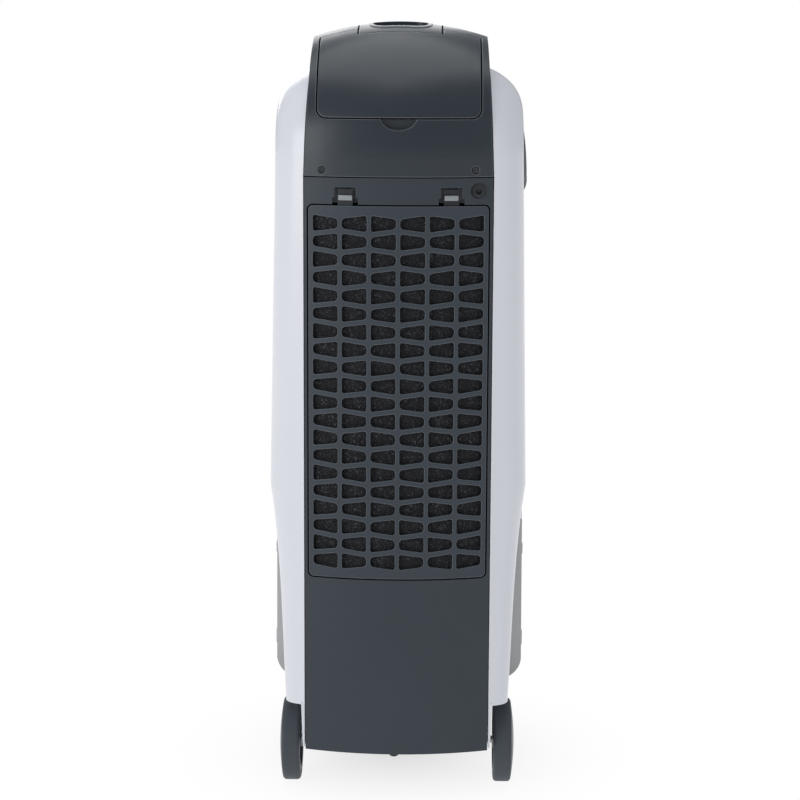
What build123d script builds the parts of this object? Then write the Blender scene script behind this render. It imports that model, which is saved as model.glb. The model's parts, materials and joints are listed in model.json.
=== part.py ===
from build123d import *
import os
from math import atan2, cos, degrees, radians, sin, sqrt, tan

# Portable evaporative air cooler, millimetres.
# +Z up, +Y towards the rear intake, origin on the floor under the middle of the body.
# Left and right are as seen from the front, so right is +X.

# Body
body_height = 841.0        # floor to the crown of the top
body_depth = 350.0         # front crown to rear crown
spine_width = 200.0        # dark centre of the body, between the side panels
spine_top_width = 188.0    # the same at the crown
bulge_radius = 300.0       # crown of the rear, front and top faces
roll_radius = 141.0        # rear face rolling over into the top
wall = 3.0
panel_gap = 0.8            # side panel to spine
seam_gap = 1.2             # between covers on the spine
seam_drop = 20.0           # roll axis down to the upper cover's lower edge
return_depth = 80.0        # rear panel's side returns, from the rear crown
fascia_depth = 25.5        # front fascia, from the front crown

# Sloping control facet at the front of the top
slant_angle = 27.0
slant_setback = 28.0       # roll axis forward to where the facet leaves the crown

# Side panels
cheek_wall = 2.5
cheek_reach = 39.3         # flank beyond the spine, at the reference height
cheek_reference = 321.0    # that height, above the rear panel's bottom edge
flank_slope = 0.0185
facet_slope = 0.473        # rear facet, fall in Y for each millimetre outward
corner_share = 0.87        # corner radius as a share of the flank's reach
roll_share = 1.4           # the same at the roll's height and over the top
cheek_roll_radius = 89.8
cheek_top_drop = 34.0      # side panel's top under the control facet
wheel_headroom = 8.0       # side panel's lower edge above the top of the wheel
waist_height = 291.0       # where the flank turns in above the wheels, above the same edge
waist_steps = [(245.0, 33.7), (172.0, 28.1)]   # height above that edge, reach beyond the spine
skirt_reach = 22.6         # reach at the side panel's lower edge
skirt_top = 4.0            # skirt beside the wheel, at its top
skirt_bottom = 2.2

# Rear grille and the cassette behind it
grille_margin = 4.5        # grille edge in from the spine's side
grille_gap = 1.6
grille_corner = 5.0
grille_drop = 30.0         # upper cover's edge down to the grille's top
grille_height = 402.0
grille_rows = 20
grille_columns = 6
row_pitch = 19.2
column_margin = 2.8        # outer holes' cells in from the grille's edge
hole_width = 26.6
hole_tall = 17.6
hole_short = 10.4
hole_wide_corner = 2.6
hole_narrow_corner = 4.6
rail_depth = 36.0          # grille's side rails, forward of the spine's edge
filter_gap = 0.4
filter_thickness = 3.0
cassette_clearance = 6.0   # cassette inside the grille's outline, top and bottom
cassette_depth = 42.0
cassette_rail = 2.4
pad_border = 6.0
pad_lattice = 3.0
cassette_float = 0.3
latch_spacing = 112.0
latch_width = 16.0
latch_slot_low = 27.4
latch_slot_high = 22.6
latch_slot_step = 8.5
latch_slot_rise = 19.5

# Wet side
plenum_depth = 46.0
intake_plate = 3.0
inlet_radius = 58.0
distributor_height = 20.0
distributor_wall = 2.0
drip_radius = 1.6
drip_count = 11
sump_height = 45.0
sump_wall = 2.5
sump_side_gap = 3.0        # tray to the spine's inside
sump_rear_gap = 6.7
hose_radius = 5.0
hose_bore = 3.5
pump_size = 46.0
pump_height = 48.0
impeller_radius = 13.0
bearing_clearance = 0.05
cord_bore = 3.6
gland_radius = 6.0
gland_flange = 8.6
gland_inset = 15.4         # gland centre in from the spine's side
gland_drop = 14.0          # gland centre under the upper cover's edge
gland_depth = 10.0
screw_inset = 19.0
screw_rise = 7.5
screw_recess = 4.2
screw_head = 3.4

# Blower and outlet
outlet_height = 150.0
outlet_width = 168.0
duct_wall = 2.5
blower_drop = 75.0         # outlet's lower edge down to the blower's axis
scroll_radius = 88.0
housing_depth = 78.0
wheel_radius = 73.0
wheel_depth = 56.0
wheel_running_gap = 4.0
blade_count = 30
shaft_radius = 4.0
motor_radius = 36.0
motor_depth = 44.0
pin_radius = 1.5
louvre_count = 4
louvre_chord = 22.0
louvre_setback = 47.0      # front crown to the louvres' axes
vane_count = 4
vane_chord = 36.0
vane_setback = 115.0       # front crown to the swing vanes' axes
blade_thickness = 2.0
crank_reach = 12.0
link_width = 8.0
link_thickness = 2.5

# Lid, ice bin and top handle
lid_margin = 7.8           # lid edge in from the spine's top side
lid_rise = 62.0            # upper cover's lower edge to the lid's
lid_corner = 9.0
lid_top_angle = 75.0       # lid's top edge, round the roll axis from the rear
lid_gap = 1.6
tongue_width = 92.8
tongue_angle = 68.0
pull_width = 38.0
pull_height = 13.0
pull_depth = 8.0
hinge_offset = 64.0        # hinge arms either side of the middle
hinge_depth = 8.5          # hinge axis under the outer surface
hinge_setback = 14.0       # hinge axis forward of the lid's edge
hinge_arm = 5.0
hinge_pin = 2.0
hinge_knuckle = 4.2
ear_thickness = 3.4
hinge_float = 0.3
bin_width = 164.0
bin_depth = 88.0
bin_height = 46.0
bin_setback = 25.0         # rear crown forward to the ice bin
bin_floor_drop = 6.0       # bin's underside below the roll axis
bin_wall = 2.0
handle_width = 69.0
handle_length = 48.0
handle_corner = 20.0
handle_rim = 4.5
handle_proud = 0.8
handle_pocket = 26.0
handle_centre = 15.0       # behind the roll axis

# Side grips
grip_height = 142.0
grip_width = 86.0
grip_top = 41.5            # above the roll axis
hood_height = 87.5
hood_reach = 40.8          # hood beyond the spine
hood_peak = 69.5           # hood's top down to its fullest height
grip_depth = 28.0
grip_wall = 2.5
grip_corner = 12.0

# Control panel
panel_width = 150.0
panel_length = 100.0
panel_setback = 80.0       # facet's top edge forward to the panel's middle
panel_flange = 2.0
panel_flange_reach = 4.0
button_count = 4
button_radius = 7.5
button_pitch = 30.0
button_gap = 0.3
button_proud = 1.5
board_drop = 5.0
board_thickness = 1.6
window_width = 74.0
window_length = 26.0

# Tank
tank_height = 190.0
tank_lift = 28.5           # over the base plate
tank_wall = 2.5
tank_reach_top = 41.5
tank_reach_bottom = 42.5
tank_back = 3.0            # rear face ahead of the middle
tank_corner = 27.0
tank_gap = 2.3
bay_clearance = 2.0
catch_heights = [(49.0, 18.0), (155.5, 13.0)]  # above the tank's bottom, and tall
gauge_width = 14.0
gauge_drop = 46.0          # tank's top down to the level window
gauge_rise = 24.0          # tank's bottom up to the level window
float_radius = 9.0
float_height = 14.0
tank_rail = 6.0
tank_float = 0.3

# Base, wheels and feet
base_plate = 3.0
base_recess = 2.0          # plate above the rear panel's bottom edge
wheel_diameter = 93.0
wheel_width = 19.7
wheel_gap = 7.5            # inner face of the tyre outside the spine
base_lift = 4.5            # rear panel's bottom edge above the axle
wheel_setback = 70.0       # rear crown to the axle
rim_diameter = 72.0
dome_diameter = 86.0
dome_height = 3.6
axle_radius = 4.0
bracket_width = 10.0
plinth_inset = 12.0
plinth_setback = 25.0      # front crown to the plinth
plinth_length = 130.0
foot_setback = 50.0        # front crown to the feet
foot_height = 14.0
foot_radius = 14.0
drain_radius = 5.0
drain_knob = 5.5
drain_drop = 16.0          # knob's bottom under the base plate
drain_inset = 37.0         # rear crown to the drain plug's axis
drain_offset = 3.0

# Derived places
axle_z = wheel_diameter / 2
base_height = axle_z + base_lift
cheek_clearance = wheel_diameter + wheel_headroom - base_height
wheel_offset = spine_width / 2 + wheel_gap
gauge_height = tank_height - gauge_rise - gauge_drop
rear_y = body_depth / 2
front_y = -body_depth / 2
spine_half = spine_width / 2
spine_top_half = spine_top_width / 2
roll_y = rear_y - roll_radius
roll_z = body_height - roll_radius
seam_z = roll_z - seam_drop
slant_y = roll_y - slant_setback
return_y = rear_y - return_depth
fascia_y = front_y + fascia_depth
cheek_x = spine_half + panel_gap
trim_x = spine_top_half - 5.0
spine_edge_y = rear_y - bulge_radius + sqrt(bulge_radius ** 2 - spine_half ** 2)
plate_z = base_height + base_recess
base_top = plate_z + base_plate
tank_z = base_top + tank_lift
tank_top = tank_z + tank_height
bay_top = tank_top + tank_gap
grille_top = seam_z - grille_drop
grille_base = grille_top - grille_height
grille_half = spine_half - grille_margin
cassette_top = grille_top - cassette_clearance
cassette_base = grille_base + cassette_clearance
rail_half = grille_half - 1.1
cassette_half = rail_half - cassette_rail
outlet_top = grille_top + 5.0
outlet_base = outlet_top - outlet_height
blower_z = outlet_base - blower_drop
axle_y = rear_y - wheel_setback
wing = spine_half + 60.0   # safely outside the widest part
sky = body_height + 60.0   # safely above the top


def block(x0, x1, y0, y1, z0, z1):
    return Pos((x0 + x1) / 2, (y0 + y1) / 2, (z0 + z1) / 2) * Box(x1 - x0, y1 - y0, z1 - z0)


def rod(start, end, radius):
    way = Vector(*end) - Vector(*start)
    plane = Plane(origin=start, z_dir=way)
    return plane * Cylinder(radius, way.length, align=(Align.CENTER, Align.CENTER, Align.MIN))


def along_x(outline, x0, x1):
    return extrude(Plane.YZ.offset(x0) * outline, x1 - x0)


def along_y(outline, y0, y1):
    return extrude(Plane(origin=(0, y1, 0), x_dir=(1, 0, 0), z_dir=(0, -1, 0)) * outline, y1 - y0)


def along_z(outline, z0, z1):
    return extrude(Plane.XY.offset(z0) * outline, z1 - z0)


def flip(part):
    return mirror(part, about=Plane.YZ)


def bar(start, end, width):
    # Flat bar with round ends, from one point of a sketch to another.
    run = Vector(*start, 0)
    way = Vector(*end, 0) - run
    turn = degrees(atan2(way.Y, way.X))
    middle = run + way * 0.5
    return Pos(middle.X, middle.Y) * Rot(0, 0, turn) * SlotCenterToCenter(way.length, width)


# Spine: the dark centre of the body

def bulge_y(x, inset=0.0):
    # Rear face of the spine at x.
    return rear_y - bulge_radius + sqrt((bulge_radius - inset) ** 2 - x * x)


def slant_height(y, inset=0.0):
    angle = radians(slant_angle)
    return body_height + (y - slant_y) * tan(angle) - inset / cos(angle)


def above_slant(inset, drop=0.0):
    behind = slant_y + roll_radius
    ahead = front_y - wing
    outline = Polygon(
        (ahead, slant_height(ahead, inset) - drop),
        (behind, slant_height(behind, inset) - drop),
        (behind, sky + roll_radius),
        (ahead, sky + roll_radius),
    )
    return along_x(outline, -wing, wing)


def spine_plan(inset):
    reach = body_depth / 2 - inset
    bulge = bulge_radius - inset
    plan = Rectangle(spine_width - 2 * inset, 2 * reach)
    plan &= Pos(0, reach - bulge) * Circle(bulge)
    plan &= Pos(0, bulge - reach) * Circle(bulge)
    return plan


def spine_side(z):
    # Spine's half width at a height above the seam, where it narrows upwards.
    taper = (spine_half - spine_top_half) / (body_height - seam_z)
    return spine_half - (z - seam_z) * taper


def spine_front_view(inset):
    half = spine_half - inset
    top = spine_side(sky) - inset
    return Polygon(
        (-half, base_height),
        (half, base_height),
        (half, seam_z),
        (top, sky),
        (-top, sky),
        (-half, seam_z),
    )


def spine(inset):
    plan = spine_plan(inset)
    trunk = along_z(plan, base_height, roll_z)
    behind = plan & Pos(0, roll_y + roll_radius) * Rectangle(spine_width, 2 * roll_radius)
    axis = Axis((0, roll_y, roll_z), (1, 0, 0))
    section = Pos(0, 0, roll_z) * behind
    roll = revolve(section, axis, 90)
    crown = extrude(section.rotate(axis, 90), body_depth, dir=(0, -1, 0))
    crown &= along_z(plan, roll_z, sky)
    body = trunk + roll + crown
    body &= along_y(spine_front_view(inset), -wing * 2, wing * 2)
    return body - above_slant(inset)


spine_outer = spine(0)
spine_inner = spine(wall)
spine_shell = spine_outer - spine_inner


def skin(shallow, deep):
    # Layer of the spine between two depths under its surface.
    return spine(shallow) - spine(deep)


# Side panels

def flank(z):
    # Flank's distance from the middle at a height.
    return spine_half + cheek_reach - (z - base_height - cheek_reference) * flank_slope


def cheek_section(z, reach, inset, y_end, share=corner_share):
    # Plan of the right side panel behind y_end: rear facet, rounded corner and flank.
    # It starts inside the spine, so that the panel can be trimmed to the spine's side.
    slack = inset / cos(atan2(facet_slope, 1))
    inner = trim_x - inset
    outer = reach - inset
    facet_in = spine_edge_y - facet_slope * (inner - spine_half) - slack
    facet_out = spine_edge_y - facet_slope * (outer - spine_half) - slack
    radius = share * (reach - spine_half) - inset
    corner = FilletPolyline((inner, facet_in), (outer, facet_out), (outer, y_end), radius=radius)
    rest = Polyline((outer, y_end), (inner, y_end), (inner, facet_in))
    return Pos(0, 0, z) * make_face([*corner.edges(), *rest.edges()])


def cheek(inset):
    # Right side panel as a solid, or its inside when inset.
    waist = base_height + waist_height
    bottom = base_height + cheek_clearance + inset
    split = 0.0
    sections = [cheek_section(waist, flank(waist), inset, split)]
    for rise, reach in waist_steps:
        sections.append(cheek_section(base_height + rise, spine_half + reach, inset, split))
    sections.append(cheek_section(bottom, spine_half + skirt_reach, inset, split))
    body = loft(sections)
    top = cheek_section(roll_z, flank(roll_z), inset, split, roll_share)
    body += loft([sections[0], top], ruled=True)
    if inset > 0:
        body -= block(0, wing, -1, inset, 0, bay_top + inset)

    low = bay_top + inset
    ahead = [
        cheek_section(low, flank(low), inset, split + inset),
        cheek_section(roll_z, flank(roll_z), inset, split + inset, roll_share),
    ]
    front = mirror(loft(ahead, ruled=True), about=Plane.XZ)
    if inset > 0:
        doorway = []
        for z in (low, waist, roll_z):
            reach = flank(z) if z >= waist else flank(waist) - (waist - z) * facet_slope
            start = trim_x - inset
            width = reach - inset - start
            doorway.append(Pos(start + width / 2, 0, z) * Rectangle(width, 4 * inset))
        front += loft(doorway, ruled=True)
    body += front

    roll_at = spine_edge_y - cheek_roll_radius
    axis = Axis((0, roll_at, roll_z), (1, 0, 0))
    section = cheek_section(roll_z, flank(roll_z), inset, roll_at, roll_share)
    body += revolve(section, axis, 90)
    crown = extrude(section.rotate(axis, 90), body_depth, dir=(0, -1, 0))
    column = mirror(cheek_section(roll_z, flank(roll_z), inset, -roll_at, roll_share), about=Plane.XZ)
    crown &= extrude(column, roll_radius)
    body += crown
    return body - above_slant(inset, cheek_top_drop)


def skirt():
    # Thin edge of the side panel beside the wheel.
    low = base_height + base_recess
    high = base_height + cheek_clearance + cheek_wall
    outline = Polygon(
        (cheek_x, low),
        (cheek_x + skirt_bottom, low),
        (cheek_x + skirt_top, high),
        (cheek_x, high),
    )
    return along_y(outline, return_y - 60, spine_edge_y - 1)


cheek_outer = cheek(0)
cheek_inner = cheek(cheek_wall)


def grip_outline(slack=0.0):
    z = roll_z + grip_top - grip_height / 2
    return Pos(0, z) * RectangleRounded(grip_width + 2 * slack, grip_height + 2 * slack, grip_corner)


def beside_spine():
    # Space to the right of the spine, clear of it by the panel gap.
    outline = Polygon(
        (cheek_x, 0),
        (wing, 0),
        (wing, sky),
        (spine_side(sky) + panel_gap, sky),
        (cheek_x, seam_z),
    )
    return along_y(outline, -wing * 2, wing * 2)


def make_side_panel():
    panel = cheek_outer - cheek_inner
    panel &= beside_spine()
    panel -= along_x(grip_outline(), cheek_x, wing)
    return panel + skirt()


def make_grip():
    # Pocket let into the side panel, with a hood over its upper part.
    top = roll_z + grip_top
    hood_low = top - hood_height
    peak = top - hood_peak
    full = spine_half + hood_reach
    inner = flank(roll_z) - grip_depth
    swell = make_face(
        [
            *ThreePointArc(
                (flank(top), top),
                (full - 1.6, (top + peak) / 2 - 6),
                (full, peak),
            ).edges(),
            *ThreePointArc(
                (full, peak),
                (full - 1.2, peak - 11),
                (flank(hood_low) - 2, hood_low),
            ).edges(),
            *Polyline(
                (flank(hood_low) - 2, hood_low),
                (inner, hood_low),
                (inner, top),
                (flank(top), top),
            ).edges(),
        ]
    )
    half = grip_width / 2 + 3
    hood = along_y(swell, -half, half)
    crest = ThreePointArc((flank(top) - 1, -half), (full + 0.6, 0), (flank(top) - 1, half))
    back = Polyline((flank(top) - 1, half), (inner, half), (inner, -half), (flank(top) - 1, -half))
    hood &= along_z(make_face([*crest.edges(), *back.edges()]), hood_low - 1, top + 1)
    shape = Pos(0, (top + hood_low) / 2) * RectangleRounded(2 * half, hood_height, half * 0.62)
    hood &= along_x(shape, inner, wing)
    proud = hood - cheek_outer
    cup = along_x(grip_outline(), inner, wing) & cheek_outer
    piece = proud + cup
    under = Pos(0, top - grip_height / 2) * RectangleRounded(
        grip_width - 2 * grip_wall, grip_height - 2 * grip_wall, grip_corner - grip_wall
    )
    piece -= along_x(under, inner + grip_wall, flank(roll_z) - grip_wall)
    mouth = block(inner + grip_wall, wing, -wing, wing, top - grip_height, hood_low)
    return piece - (mouth & along_x(under, inner, wing))


# Rear panel, grille and cassette

def grille_outline(slack):
    middle = (grille_top + grille_base) / 2
    return Pos(0, middle) * RectangleRounded(
        2 * (grille_half + slack), grille_height + 2 * slack, grille_corner + slack
    )


def make_rear_panel():
    panel = spine_shell & block(-wing, wing, return_y, wing * 2, 0, seam_z - seam_gap / 2)
    panel -= along_y(grille_outline(grille_gap), 0, wing * 2)
    for side in (-1, 1):
        x = side * latch_spacing / 2
        low_half = latch_slot_low / 2
        high_half = latch_slot_high / 2
        step = grille_top + latch_slot_step
        low = block(x - low_half, x + low_half, 0, wing * 2, grille_top - 5, step)
        high = block(x - high_half, x + high_half, 0, wing * 2, grille_top, grille_top + latch_slot_rise)
        panel -= low + high
    x, y, z = gland_place()
    seat = rod((x, y - 9, z), (x, y, z), gland_flange + 3) & spine_outer
    panel += seat
    panel -= rod((x, y - wing, z), (x, y + 20, z), gland_radius)
    panel -= rod((x, y - 2.5, z), (x, y + 20, z), gland_flange)
    return panel


def gland_place():
    x = -(spine_half - gland_inset)
    return x, bulge_y(x), seam_z - gland_drop


def make_gland():
    x, y, z = gland_place()
    piece = rod((x, y - gland_depth, z), (x, y - 2.5, z), gland_radius)
    piece += rod((x, y - 2.5, z), (x, y - 0.7, z), gland_flange)
    piece += rod((x, y - 0.7, z), (x, y + 0.8, z), gland_radius)
    return piece - rod((x, y - 20, z), (x, y + 10, z), cord_bore)


def tapered_hole():
    wide = hole_tall / 2
    narrow = hole_short / 2
    half = hole_width / 2
    shape = Polygon((-half, -wide), (half, -narrow), (half, narrow), (-half, wide))
    corners = shape.vertices().sort_by(Axis.X)
    shape = fillet(corners[2:], hole_narrow_corner)
    return fillet(shape.vertices().sort_by(Axis.X)[:2], hole_wide_corner)


def make_grille():
    grille = spine_shell & along_y(grille_outline(0), return_y, wing * 2)
    pitch = 2 * (grille_half - column_margin) / grille_columns
    middle = (grille_top + grille_base) / 2
    wide_left = tapered_hole()
    wide_right = flip(wide_left)
    holes = []
    for row in range(grille_rows):
        z = middle + (row - (grille_rows - 1) / 2) * row_pitch
        for column in range(grille_columns):
            x = (column - (grille_columns - 1) / 2) * pitch
            shape = wide_left if (row + column) % 2 else wide_right
            holes.append(Pos(x, z) * shape)
    grille -= along_y(Sketch() + holes, return_y, wing * 2)
    for side in (-1, 1):
        x0, x1 = sorted((side * cassette_half, side * rail_half))
        rail = block(x0, x1, spine_edge_y - rail_depth, rear_y, cassette_base, cassette_top)
        grille += rail & spine_inner
    return grille


def make_latches():
    outer = spine(filter_gap)
    inner = spine(wall + cassette_rail)
    tabs = []
    for side in (-1, 1):
        x = side * latch_spacing / 2
        half = latch_width / 2
        tab_top = grille_top + latch_slot_rise - 2
        tab = spine_inner & block(x - half, x + half, 0, wing * 2, cassette_top + 2, tab_top)
        lip = outer & block(x - half + 1, x + half - 1, 0, wing * 2, grille_top + 6, grille_top + 10.5)
        tabs.append((tab + lip) - inner)
    return Part() + tabs


def cassette_rear():
    return bulge_y(cassette_half, wall + filter_gap + filter_thickness) - 0.6


def make_filter():
    layer = skin(wall + filter_gap, wall + filter_gap + filter_thickness)
    half = cassette_half - 0.4
    return layer & block(-half, half, 0, wing * 2, cassette_base, cassette_top)


def make_pad_frame():
    rear = cassette_rear()
    front = rear - cassette_depth
    frame = block(-cassette_half, cassette_half, front, rear, cassette_base, cassette_top)
    inner = cassette_half - pad_border
    low = cassette_base + pad_border
    high = cassette_top - pad_border
    frame -= block(-inner, inner, front, rear, low, high)
    for face in (front, rear - pad_lattice):
        for share in (1 / 3, 2 / 3):
            x = -inner + 2 * inner * share
            frame += block(x - 1.5, x + 1.5, face, face + pad_lattice, low, high)
        for share in (0.2, 0.4, 0.6, 0.8):
            z = low + (high - low) * share
            frame += block(-inner, inner, face, face + pad_lattice, z - 1.5, z + 1.5)
    return frame


def make_pad():
    rear = cassette_rear() - pad_lattice
    front = cassette_rear() - cassette_depth + pad_lattice
    inner = cassette_half - pad_border
    return block(-inner, inner, front, rear, cassette_base + pad_border, cassette_top - pad_border)


# Upper cover, lid, ice bin and top handle

def roll_wedge(angle, low=-60.0):
    # Everything behind the roll axis between two angles round it.
    far = roll_radius * 1.6
    points = [(roll_y, roll_z)]
    for turn in (low, 0.0, 45.0, angle):
        points.append((roll_y + far * cos(radians(turn)), roll_z + far * sin(radians(turn))))
    return along_x(Polygon(*points), -wing, wing)


def lid_space(gap):
    half = spine_top_half - lid_margin + gap
    low = seam_z + lid_rise - gap
    outline = Pos(0, low + roll_radius) * RectangleRounded(2 * half, 2 * roll_radius, lid_corner + gap)
    space = along_y(outline, roll_y, wing * 2)
    return space & roll_wedge(lid_top_angle + degrees(gap / roll_radius))


def tongue_space(gap):
    # Where the top handle's plate lies; the gap widens it.
    half = tongue_width / 2 - lid_gap + gap
    start = tongue_angle + degrees((lid_gap - gap) / roll_radius)
    space = block(-half, half, slant_y + 6 - gap, wing * 2, roll_z, sky)
    return space - roll_wedge(start)


def hinge_place():
    # Axis of the lid, forward of its edge and under the surface at the arms.
    sag = bulge_radius - sqrt(bulge_radius ** 2 - hinge_offset ** 2)
    local = roll_radius - sag
    reach = local - hinge_depth
    angle = radians(lid_top_angle) + hinge_setback / local
    return roll_y + reach * cos(angle), roll_z + reach * sin(angle), angle


def arm_outline():
    # Goose-neck that passes under the cover's edge as the lid turns.
    y, z, angle = hinge_place()

    def place(run, rise):
        return (y + run * sin(angle) + rise * cos(angle), z - run * cos(angle) + rise * sin(angle))

    dip = -hinge_setback - 6.5
    corners = [place(0, 0), place(-1.5, dip), place(hinge_setback + 3, dip), place(hinge_setback + 16, 1.5)]
    outline = Pos(*corners[0]) * Circle(hinge_knuckle)
    for start, end in zip(corners, corners[1:]):
        outline += bar(start, end, hinge_arm)
    return outline


def make_lid():
    lid = spine_shell & lid_space(0)
    half = tongue_width / 2
    lid -= block(-half, half, 0, wing * 2, roll_z, sky) - roll_wedge(tongue_angle)
    y, z, angle = hinge_place()
    arms = arm_outline()
    for side in (-1, 1):
        x = side * hinge_offset
        arm = along_x(arms, x - hinge_arm / 2, x + hinge_arm / 2)
        lid += arm & spine(wall / 2)
        reach = hinge_arm / 2 + hinge_float + ear_thickness
        lid += rod((x - reach, y, z), (x + reach, y, z), hinge_pin)
    return lid


def hinge_ears():
    y, z, angle = hinge_place()
    lift = hinge_depth
    crest = (y + lift * cos(angle), z + lift * sin(angle))
    outline = bar((y, z), crest, 2 * hinge_knuckle)
    bore = Pos(y, z) * Circle(hinge_pin + bearing_clearance)
    ears = []
    for side in (-1, 1):
        for outer in (-1, 1):
            x = side * hinge_offset + outer * (hinge_arm / 2 + hinge_float + ear_thickness / 2)
            ears.append(along_x(outline - bore, x - ear_thickness / 2, x + ear_thickness / 2))
    return (Part() + ears) & spine(wall / 2)


def screw_places():
    z = seam_z + screw_rise
    for side in (-1, 1):
        x = side * (spine_half - screw_inset)
        yield x, bulge_y(x), z


def pull_scoop(growth):
    # Half-round finger recess under the lid's lower edge.
    z = seam_z + lid_rise
    surface = roll_y + sqrt(roll_radius ** 2 - (z - roll_z) ** 2)
    outline = Pos(0, z) * Ellipse(pull_width / 2 + growth, pull_height + growth)
    outline &= Pos(0, z - pull_height) * Rectangle(2 * pull_width, 2 * pull_height)
    return along_y(outline, surface - pull_depth - growth, wing * 2)


def make_upper_cover():
    cover = spine_shell & block(-wing, wing, fascia_y + seam_gap / 2, wing * 2, seam_z + seam_gap / 2, sky)
    cover += pull_scoop(wall) & spine(wall / 2)
    cover -= pull_scoop(0)
    cover -= lid_space(lid_gap)
    cover -= tongue_space(lid_gap)
    cover += hinge_ears()
    cover -= facet_plane() * extrude(panel_sketch(seam_gap / 2), -4 * wall, both=True)
    for x, y, z in screw_places():
        cover += rod((x, y - 10, z), (x, y, z), screw_recess + 2.5) & spine(1)
        cover -= rod((x, y - 4, z), (x, y + 9, z), screw_recess)
        cover -= rod((x, y - 30, z), (x, y, z), screw_head / 2)
    return cover


def make_screws():
    screws = []
    for x, y, z in screw_places():
        screw = rod((x, y - 14, z), (x, y - 4, z), screw_head / 2)
        head = rod((x, y - 4, z), (x, y - 1.8, z), screw_head)
        slot = block(x - 0.5, x + 0.5, y - 2.8, y, z - 2.2, z + 2.2)
        slot += block(x - 2.2, x + 2.2, y - 2.8, y, z - 0.5, z + 0.5)
        screws.append(screw + (head - slot))
    return Part() + screws


def make_ice_bin():
    low = roll_z - bin_floor_drop
    high = low + bin_height
    rear = rear_y - bin_setback
    front = rear - bin_depth
    half = bin_width / 2
    ice_bin = block(-half, half, front, rear, low, high)
    brim = block(-wing, wing, front - 8, wing * 2, high - 4, high) & spine_inner
    notch = pull_width / 2 + wall + 1
    brim -= block(-notch, notch, rear, wing * 2, low, high)
    ice_bin += brim
    inner = half - bin_wall
    ice_bin -= block(-inner, inner, front + bin_wall, rear - bin_wall, low + bin_wall, sky)
    return ice_bin - rod((0, (front + rear) / 2, low - 1), (0, (front + rear) / 2, low + 10), 5)


def handle_sketch(slack):
    return Pos(0, roll_y + handle_centre) * RectangleRounded(
        handle_width + 2 * slack, handle_length + 2 * slack, handle_corner + slack
    )


def make_top_handle():
    plate = spine_shell & tongue_space(0)
    proud = spine(-handle_proud)
    ring = (proud - spine_inner) & along_z(handle_sketch(0), roll_z, sky)
    floor = body_height - handle_pocket
    cup = (along_z(handle_sketch(-handle_rim + wall), floor - wall, sky)) & spine(wall / 2)
    inner = along_z(handle_sketch(-handle_rim), floor, sky)
    return plate + ring + cup - inner


# Control panel

def facet_plane():
    angle = radians(slant_angle)
    y = slant_y - panel_setback * cos(angle)
    return Plane(origin=(0, y, slant_height(y)), x_dir=(1, 0, 0), z_dir=(0, -sin(angle), cos(angle)))


def panel_sketch(slack):
    return RectangleRounded(panel_width + 2 * slack, panel_length + 2 * slack, 8 + slack)


def window_sketch():
    return Pos(0, panel_length / 4) * RectangleRounded(window_width, window_length, 5)


def button_places():
    for index in range(button_count):
        yield (index - (button_count - 1) / 2) * button_pitch, -panel_length / 4


def make_control_panel():
    panel = extrude(panel_sketch(0), -wall)
    under = extrude(Pos(0, 0, -wall) * panel_sketch(panel_flange_reach), -panel_flange)
    panel += under
    panel -= extrude(window_sketch(), -4 * wall)
    for x, y in button_places():
        panel -= Pos(x, y) * Cylinder(button_radius + button_gap, 8 * wall)
    base = -wall - panel_flange
    for side in (-1, 1):
        for end in (-1, 1):
            post = Pos(side * (panel_width / 2 - 8), end * (panel_length / 2 - 8), base - board_drop / 2)
            panel += post * Cylinder(3, board_drop)
    return facet_plane() * panel


def make_window():
    return facet_plane() * extrude(window_sketch(), -wall)


def make_button(index):
    x, y = list(button_places())[index]
    base = -wall - panel_flange - button_gap
    cap = extrude(Pos(0, 0, base) * Circle(button_radius), button_proud - base)
    cap = chamfer(cap.faces().sort_by(Axis.Z)[-1].edges(), 0.5)
    lip = extrude(Pos(0, 0, base) * Circle(button_radius + 1.5), -2.0)
    return facet_plane() * (Pos(x, y) * (cap + lip))


def make_board():
    base = -wall - panel_flange - board_drop
    outline = RectangleRounded(panel_width - 4, panel_length - 4, 4)
    board = extrude(Pos(0, 0, base) * outline, -board_thickness)
    for x, y in button_places():
        board += extrude(Pos(x, y, base) * Circle(2.5), 0.8)
    return facet_plane() * board


# Front fascia, outlet duct, louvres and vanes

def outlet_sketch(inset):
    middle = (outlet_top + outlet_base) / 2
    return Pos(0, middle) * RectangleRounded(outlet_width - 2 * inset, outlet_height - 2 * inset, 6)


def make_fascia():
    fascia = spine_shell & block(-wing, wing, -wing * 2, fascia_y - seam_gap / 2, bay_top, sky)
    return fascia - along_y(outlet_sketch(duct_wall), -wing * 2, 0)


def housing_front():
    return plenum_y() - housing_depth


def plenum_y():
    # Rear face of the blower housing, where the intake plate stands.
    return cassette_rear() - cassette_depth - plenum_depth - intake_plate


def louvre_z(index):
    middle = (outlet_top + outlet_base) / 2
    return middle + (index - (louvre_count - 1) / 2) * (outlet_height - 2 * duct_wall - 9) / louvre_count


def vane_x(index):
    return (index - (vane_count - 1) / 2) * (outlet_width - 2 * duct_wall - 12) / vane_count


louvre_y = front_y + louvre_setback
vane_y = front_y + vane_setback
duct_floor = outlet_base + duct_wall
duct_roof = outlet_top - duct_wall
duct_half = outlet_width / 2 - duct_wall


def make_duct():
    duct = along_y(outlet_sketch(0), -wing * 2, housing_front())
    duct -= along_y(outlet_sketch(duct_wall), -wing * 2, wing)
    duct &= spine_inner
    hole = pin_radius + bearing_clearance
    for index in range(louvre_count):
        z = louvre_z(index)
        duct -= rod((-wing, louvre_y, z), (wing, louvre_y, z), hole)
    for index in range(vane_count):
        x = vane_x(index)
        duct -= rod((x, vane_y, 0), (x, vane_y, sky), hole)
    return duct


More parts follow.
